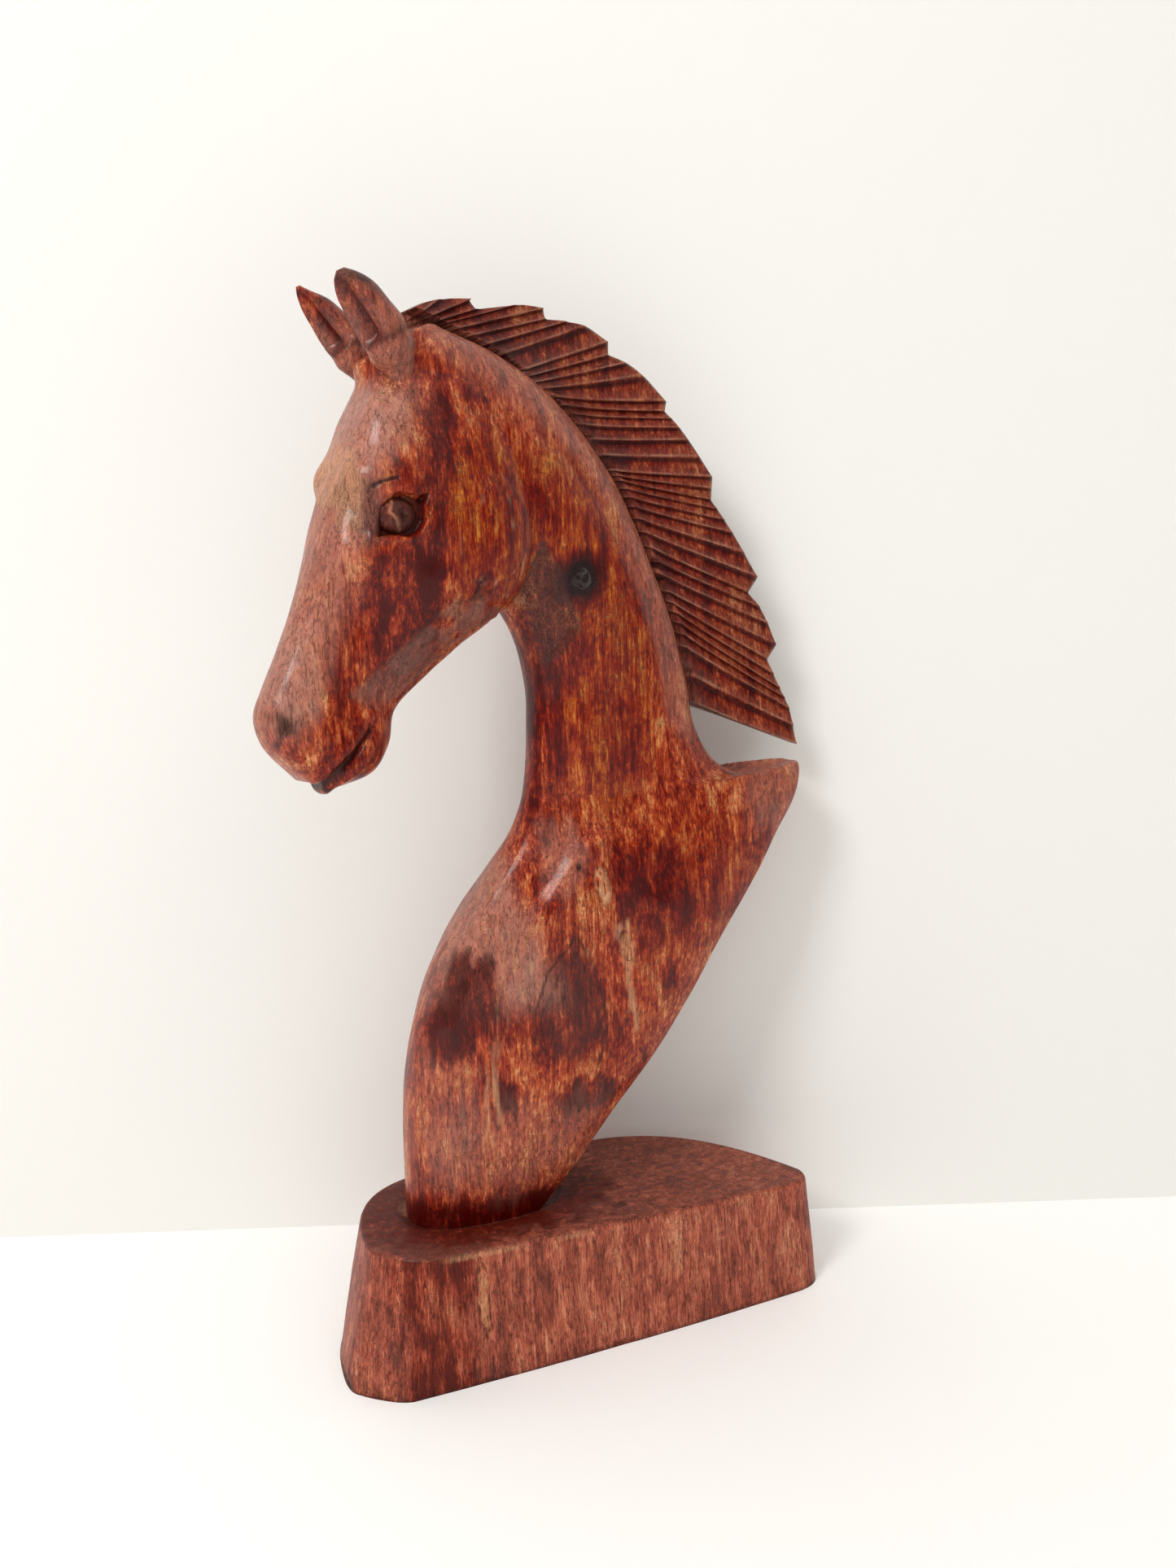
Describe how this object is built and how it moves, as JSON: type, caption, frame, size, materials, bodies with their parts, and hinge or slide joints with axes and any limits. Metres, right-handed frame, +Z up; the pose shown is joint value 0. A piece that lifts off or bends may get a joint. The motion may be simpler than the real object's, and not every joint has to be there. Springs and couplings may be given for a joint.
{
  "type": "carved wooden figurine",
  "caption": "Hand-carved hardwood horse-head bust with a toothed mane comb and slanting sawn back, standing on a half-round block base.",
  "frame": {"origin": "middle of the bounding box, on the surface that the base stands on", "axes": "+Z up; the horse's nose points to -X and its left side faces -Y"},
  "size_m": [0.1426, 0.0556, 0.2501],
  "materials": {
    "bust_wood": "red-brown stained hardwood, hand-rubbed satin varnish",
    "mane_wood": "darker stained hardwood with tool grooves, thin satin varnish",
    "base_wood": "stained open-pored hardwood, sanded, nearly matt sides and satin top",
    "dark_wood": "dark stained end grain, glossy",
    "dowel_wood": "bare birch dowel",
    "wood_filler": "sanded wood putty, matt and slightly pitted"
  },
  "bodies": {
    "root": {"base_block": "base_wood", "neck_chest": "bust_wood", "head": "bust_wood", "mane_comb": "mane_wood", "ear_left": "bust_wood", "ear_right": "bust_wood", "eye_left": "dark_wood", "eye_right": "dark_wood", "dowel_front": "dowel_wood", "dowel_rear": "dowel_wood", "neck_knot": "dark_wood", "shoulder_filler": "wood_filler", "flank_filler": "wood_filler", "base_filler": "wood_filler"}
  },
  "joints": []
}
